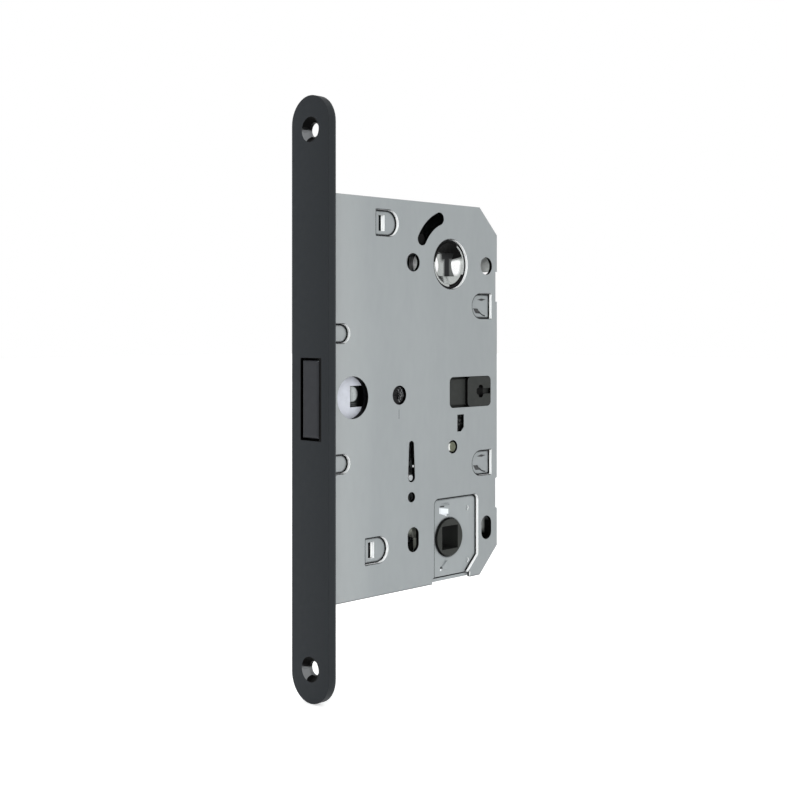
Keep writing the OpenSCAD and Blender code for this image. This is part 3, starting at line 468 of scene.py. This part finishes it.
# The return spring, wound as a coil of wire between the sleeve and the tail's lug in place of the modelled one, which
# is hidden.
near, far = (place * 1000 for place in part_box("latch_spring"))
wire_radius, coils, steps = 0.3, 13, 24
rod_z = 14.45
middle = (0, (near[1] + far[1]) / 2, rod_z)
bm = bmesh.new()
section = bmesh.ops.create_circle(bm, cap_ends=False, segments=10, radius=wire_radius)["verts"]
bmesh.ops.translate(bm, verts=section, vec=(near[0] + wire_radius, far[1] - wire_radius, rod_z))
bmesh.ops.spin(bm, geom=bm.edges[:], cent=middle, axis=(1, 0, 0), angle=math.tau * coils, steps=coils * steps,
               dvec=((far[0] - near[0] - 2 * wire_radius) / coils / steps, 0, 0))
close_ends(bm)
coil = placed("return_spring", bm, wire, "case")
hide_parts("latch_spring")
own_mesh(coil)

# ---------------------------------------------------------------- adjuster
# Black stud that shifts the latch in the case: a cross recess for the driver in its front, and teeth round its edge
# that catch in the sleeve. The teeth are moulded rougher, with grey flecks painted on them as highlights.


def cells(tree, scale):
    """Distance to the nearest of many scattered points; scale counts them per metre."""
    place = add_node(tree, "ShaderNodeTexCoord").outputs["Object"]
    return add_node(tree, "ShaderNodeTexVoronoi", (("Vector", place), ("Scale", scale))).outputs["Distance"]


stud, tree, shader, _ = new_finish(
    "black_stud", (0.011, 0.011, 0.012), (0.008, 0.008, 0.009), metal=0.0, rough=0.45, spread=0.06,
    patches=600, rounding=0.0001, relief=0.2, worn=(0.05, 0.052, 0.055), gloss=0.12)
x, y, z = coordinates(tree)
rim = ring(tree, x, z, (34.3, 0.3))
flecks = ramp(tree, cells(tree, 1900.0), 0.36, 0.46, 1, 0)
flecks = both(tree, flecks, maths(tree, "COMPARE", rim, 2.0, 1.0), more(tree, x, 0.0345))
lay_over(tree, shader, flecks, (0.2, 0.205, 0.21), 0.5)
give(stud, "adjuster")

# ---------------------------------------------------------------- handle follower and its bushes
# The spindle hub: cast and then nickel plated, dished on both sides towards its square, with a painted reflection as a
# bright band in the dish, and painted shade on its downward faces, in its square's waist and round its collar. The stop
# arm is painted black as shade and the lobe that shows in the rose hole white as light. It turns in two black plastic
# bushes.
hub, tree, shader, flat = new_finish(
    "polished_hub", (0.46, 0.48, 0.47), (0.40, 0.42, 0.41), metal=0.9, rough=0.2, spread=0.05,
    patches=160, rounding=0.0002, relief=0.08, worn=(0.85, 0.86, 0.86))
x, y, z = coordinates(tree)
away = ring(tree, x, z, hub_centre)
shadowed = both(tree, more(tree, away, 9.0), more(tree, z, 0.0485))
square = both(tree, inside(tree, x, hub_centre[0], 4.15), inside(tree, z, hub_centre[1], 4.15))
waist = both(tree, ramp(tree, y, -0.0024, -0.0016, 0.6, 1), ramp(tree, y, 0.0002, 0.0012, 1, 0))
# Painted reflection: a bright band across the dish
painted_reflection = both(tree, ramp(tree, maths(tree, "ABSOLUTE", maths(tree, "SUBTRACT", z, 0.0446)), 0.0022, 0.0034, 1, 0),
                more(tree, x, 0.0605), but_not(tree, square), ramp(tree, away, 6.2, 6.8, 1, 0))
lay_over(tree, shader, painted_reflection, shine, 0.2)
# Painted shade: black on the downward faces, in the square's waist, on the collar's lips and over the stop arm
downward = both(tree, ramp(tree, split(tree, flat)[2], -0.12, -0.3, 0, 1), less(tree, away, 9.0))
waist = either(tree, waist, both(tree, ramp(tree, z, 0.0460, 0.0478, 0, 1), ramp(tree, y, 0.0014, 0.0030, 1, 0)))
lay_over(tree, shader, both(tree, square, waist), (0.03, 0.031, 0.032), 0.4)
collar = maths(tree, "COMPARE", away, 8.0, 0.9)
shaded_lip = both(tree, collar, more(tree, z, 0.0460), less(tree, x, 0.0640))
heel = both(tree, collar, more(tree, x, 0.0600), less(tree, z, 0.0420))
lay_over(tree, shader, either(tree, shadowed, downward, shaded_lip, heel), black, 0.5, 1.0)
# Painted light: the lobe is white where it shows in the rose hole
lobe = less(tree, x, 0.0505)
lay_over(tree, shader, both(tree, lobe, less(tree, z, 0.0485)), white, 0.3, 0.0)
give(hub, "handle_follower")


def bush_plastic(name):
    return new_finish(
        name, (0.008, 0.008, 0.009), (0.006, 0.006, 0.007), metal=0.0, rough=0.45, spread=0.05,
        patches=600, rounding=0.0001, relief=0.2, worn=(0.02, 0.02, 0.021), gloss=0.1)


give(bush_plastic("black_bush")[0], "front_bush")
# The rear one has a patch painted light where it shows beside the follower's lobe in the dark of the case
rear, tree, shader, _ = bush_plastic("rear_bush")
x, y, z = coordinates(tree)
wear_and_light = both(tree, less(tree, y, 0.00475), patch(tree, x, z, (50.0, 54.5, 38.0, 52.0)))
lay_over(tree, shader, wear_and_light, (0.9, 0.9, 0.9), 0.4)
give(rear, "rear_bush")

# ---------------------------------------------------------------- lever pivot
# Shouldered rivet of passivated steel, olive with the tint of its bath, set through the cover below the selector. The
# rounded rim of its head has a painted highlight towards the forend, and a ring of painted shade round it in the
# cover's hole.
passivated, tree, shader, flat = new_finish(
    "passivated_steel", (0.15, 0.16, 0.115), (0.11, 0.115, 0.08), metal=0.4, rough=0.42, spread=0.08,
    patches=700, rounding=0.0002, relief=0.2, worn=(0.3, 0.31, 0.25), gloss=0.2)
x, y, z = coordinates(tree)
rim = ring(tree, x, z, (61, -18.9))
turned = split(tree, flat)[0]
front = less(tree, y, -0.0050)
lay_over(tree, shader, both(tree, front, more(tree, rim, 1.75)), (0.02, 0.02, 0.018), 0.5)
lay_over(tree, shader, both(tree, front, ramp(tree, turned, -0.45, -0.62, 0, 1)), (0.9, 0.91, 0.88), 0.3)
give(passivated, "lever_pivot")

# ---------------------------------------------------------------- selector
# Dark grey glass-filled nylon: the bezel behind the window, with its lug in the small slot, and the sliding button with
# its cross recess. Their sides and all deeper than their fronts are painted nearly black as shade, the lug too, with
# grey specks painted on it as highlights, and the cross recess is painted darker as shade.


def grey_nylon(name, face_y):
    """face_y is the height of its front in millimetres; deeper than that and on the sides it is painted nearly black as
    shade.
    """
    material, tree, shader, flat = new_finish(
        name, (0.034, 0.036, 0.034), (0.030, 0.032, 0.030), metal=0.0, rough=0.5, spread=0.05,
        patches=500, rounding=0.00015, relief=0.25, worn=(0.05, 0.052, 0.05), gloss=0.12)
    y = coordinates(tree)[1]
    side = split(tree, flat)
    steep = more(tree, side[1], -0.6)
    deep = more(tree, y, face_y / 1000)
    lay_over(tree, shader, either(tree, steep, deep), (0.004, 0.004, 0.004), 0.6, 0.7)
    return material, tree, shader


bezel, tree, shader = grey_nylon("bezel_nylon", 2.0)
x, y, z = coordinates(tree)
# Painted shade: the lug in the small slot is near black, with grey specks painted as highlights of its relief
lug = less(tree, z, -0.0068)
lay_over(tree, shader, lug, (0.004, 0.004, 0.004), 0.6)
speck_highlights = ramp(tree, cells(tree, 1100.0), 0.34, 0.46, 1, 0)
lay_over(tree, shader, both(tree, lug, speck_highlights), (0.06, 0.062, 0.06), 0.5)
give(bezel, "selector_bezel")
button, tree, shader = grey_nylon("button_nylon", -6.3)
x, y, z = coordinates(tree)
# Painted shade: the cross recess is painted darker
groove_shade = both(tree, patch(tree, x, z, (78.1, 82.0, -0.8, 1.2)), more(tree, y, -0.0059))
lay_over(tree, shader, groove_shade, (0.022, 0.023, 0.022), 0.5)
give(button, "selector_button")

# ---------------------------------------------------------------- privacy follower and locking slide
# The privacy follower is moulded in a slightly greener nylon, with its square left sharp and its sides painted dark as
# shade. The locking slide beside it is passivated steel, painted far lighter than the pivot as light where it sits deep
# in the case, and its rounded heel shows in the front slot with a painted highlight fleck.
follower, tree, shader, flat = new_finish(
    "privacy_nylon", (0.038, 0.040, 0.037), (0.033, 0.035, 0.032), metal=0.0, rough=0.5, spread=0.05,
    patches=500, rounding=0.00015, relief=0.25, worn=(0.06, 0.063, 0.058), gloss=0.12)
side = split(tree, flat)
# Painted shade: its sides are dark
lay_over(tree, shader, more(tree, side[1], -0.5), (0.010, 0.011, 0.010), 0.55)
give(follower, "privacy_follower")
peg, tree, shader, flat = new_finish(
    "bright_peg", (0.40, 0.42, 0.43), (0.36, 0.38, 0.39), metal=0.45, rough=0.4, spread=0.05,
    patches=500, rounding=0.00008, relief=0.15, worn=(0.5, 0.52, 0.53))
side = split(tree, flat)
# Painted highlight on the side towards the forend, painted shade on the side away from it
lay_over(tree, shader, ramp(tree, side[0], -0.3, -0.6, 0, 1), white, 0.4, 0.0)
lay_over(tree, shader, ramp(tree, side[0], 0.3, 0.6, 0, 1), black, 0.5, 1.0)
give(peg, "lock_peg")
# Painted light: far lighter than the pivot's passivated steel, as light where it sits deep in the case
slide, tree, shader, _ = new_finish(
    "slide_steel", (0.55, 0.57, 0.50), (0.42, 0.44, 0.38), metal=0.3, rough=0.4, spread=0.08,
    patches=500, rounding=0.0002, relief=0.2, worn=(0.8, 0.82, 0.78))
x, y, z = coordinates(tree)
# Painted highlight: a white fleck on the bar where it shows in the tapered slot
lay_over(tree, shader, patch(tree, x, z, (42.8, 44.3, -25.6, -24.6)), white, 0.4, 0.0)
give(slide, "lock_slide")

# ---------------------------------------------------------------- forend
# The long face plate that is screwed into the door's edge: 3 mm steel with round ends, powder coated dark grey. The
# coat has a fine orange peel. Its front is painted darker towards the cover as shade and its side towards the cover
# lighter as light, with a painted highlight along its rear edge; the rim of the window and the two countersinks are
# painted near black as shade, with a painted highlight on one facet of each countersink.
coated, tree, shader, flat = new_finish(
    "dark_powder_coat", (0.0195, 0.0222, 0.0252), (0.017, 0.0195, 0.0225), metal=0.0, rough=0.5, spread=0.05,
    patches=450, rounding=0.0003, relief=0.25, worn=(0.045, 0.048, 0.052), gloss=0.12)
x, y, z = coordinates(tree)
turned = split(tree, flat)
gap_shade = both(tree, inside(tree, y, -0.3, 5.05), inside(tree, z, 0, 13.4))
front = less(tree, turned[0], -0.9)
# Painted shade on the front towards the cover; painted light on the side, with a painted highlight at its rear edge
lay_over(tree, shader, both(tree, front, ramp(tree, y, 0.009, -0.009, 0, 1)), (0.0135, 0.0158, 0.0183))
side = less(tree, turned[1], -0.7)
lay_over(tree, shader, side, (0.0215, 0.0245, 0.0275))
lay_over(tree, shader, both(tree, side, ramp(tree, x, 0.0024, 0.0029, 0, 1)), (0.06, 0.065, 0.069))
# Painted shade: the window's rim and the countersinks near black, with a painted highlight on one countersink facet
cone = less(tree, ring(tree, y, maths(tree, "ABSOLUTE", z), (0, 87)), 4.2)
cone = both(tree, cone, less(tree, maths(tree, "ABSOLUTE", turned[0]), 0.95))
lay_over(tree, shader, either(tree, gap_shade, cone), (0.004, 0.004, 0.004), 0.5, 1.0)
countersink_highlight = both(tree, cone, less(tree, turned[1], -0.3), ramp(tree, turned[2], -0.15, 0.1, 0, 1))
lay_over(tree, shader, countersink_highlight, (0.16, 0.165, 0.17), 0.4, 0.4)
give(coated, "forend")

# ---------------------------------------------------------------- floor
# A plain pale floor under the latch's lower end. It reads as white to the camera and in reflections and keeps the
# latch's shadow.
bm = bmesh.new()
bmesh.ops.create_grid(bm, x_segments=1, y_segments=1, size=4.0)
bmesh.ops.translate(bm, verts=bm.verts, vec=(0, 0, frame_low[2] - 0.0002))
mesh = bpy.data.meshes.new("floor")
bm.to_mesh(mesh)
bm.free()
floor = bpy.data.objects.new("floor", mesh)
bpy.context.scene.collection.objects.link(floor)
floor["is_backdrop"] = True


def white_to_view(tree):
    """1 for what the camera, a reflection or a glass sees directly."""
    path = add_node(tree, "ShaderNodeLightPath").outputs
    return either(tree, path["Is Camera Ray"], path["Is Glossy Ray"], path["Is Transmission Ray"])


pale = bpy.data.materials.new("pale_floor")
pale.use_nodes = True
tree = pale.node_tree
tree.nodes.clear()
matt = add_node(tree, "ShaderNodeBsdfDiffuse", (("Color", (0.8, 0.8, 0.8, 1)),)).outputs[0]
lift = maths(tree, "MULTIPLY", white_to_view(tree), 0.5)
glow = add_node(tree, "ShaderNodeEmission", (("Strength", lift),)).outputs[0]
total = add_node(tree, "ShaderNodeAddShader", ((0, matt), (1, glow))).outputs[0]
add_node(tree, "ShaderNodeOutputMaterial", (("Surface", total),))
mesh.materials.append(pale)

# ---------------------------------------------------------------- light
# A white tent with soft boxes: a large one above, a stronger one on the forend's side, two towards the cover and weak
# ones behind. Seen directly, the tent is plain white.
world = bpy.data.worlds.new("tent")
bpy.context.scene.world = world
world.use_nodes = True
tree = world.node_tree
tree.nodes.clear()
direction = add_node(tree, "ShaderNodeTexCoord").outputs["Generated"]
level = None
soft_boxes = [
    ((0, 0, 1), 20, 120, 0.5),
    ((-1, -0.25, 0.1), 18, 55, 2.5),
    ((-0.7, -0.75, 0.1), 12, 45, 1.3),
    ((0.75, -0.66, 0), 25, 75, 0.7),
    ((0.5, 1, 0.1), 25, 80, 0.9),
]
for axis, inner, outer, strength in soft_boxes:
    toward = ((0, direction), (1, Vector(axis).normalized()))
    cosine = add_node(tree, "ShaderNodeVectorMath", toward, operation="DOT_PRODUCT").outputs["Value"]
    edges = (math.cos(math.radians(outer)), math.cos(math.radians(inner)))
    box = add_node(tree, "ShaderNodeMapRange", (("Value", cosine), ("From Min", edges[0]), ("From Max", edges[1]),
                                                ("To Max", strength)), interpolation_type="SMOOTHSTEP").outputs[0]
    level = maths(tree, "ADD", level, box) if level else maths(tree, "ADD", box, 0.05)
lit = add_node(tree, "ShaderNodeBackground", (("Color", (0.985, 1, 1, 1)), ("Strength", level))).outputs[0]
seen = add_node(tree, "ShaderNodeBackground", (("Color", (1, 1, 1, 1)), ("Strength", 1.0))).outputs[0]
mixed = add_node(tree, "ShaderNodeMixShader", ((0, white_to_view(tree)), (1, lit), (2, seen))).outputs[0]
add_node(tree, "ShaderNodeOutputWorld", (("Surface", mixed),))

# ---------------------------------------------------------------- camera
# At the photograph's place: level with the upper half of the case, looking at 45 degrees between forend and cover.
# It is held level, and its picture is shifted so that the long case stands upright and in the middle.
picture_size, focal_pixels, horizon_row = 787, 1272.7, 326.4
camera_data = bpy.data.cameras.new("camera")
camera_data.sensor_width = 36
camera_data.lens = camera_data.sensor_width * focal_pixels / picture_size
camera_data.shift_y = (horizon_row - picture_size / 2) / picture_size
camera_data.clip_start = 0.01
camera_data.clip_end = 10
camera = bpy.data.objects.new("camera", camera_data)
camera.location = (-0.27078, -0.30892, 0.02352)
camera.rotation_euler = (math.radians(90), 0, math.radians(45.017 - 90))
bpy.context.scene.collection.objects.link(camera)
bpy.context.scene.camera = camera
bpy.context.scene.view_settings.view_transform = "Standard"

low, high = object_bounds()
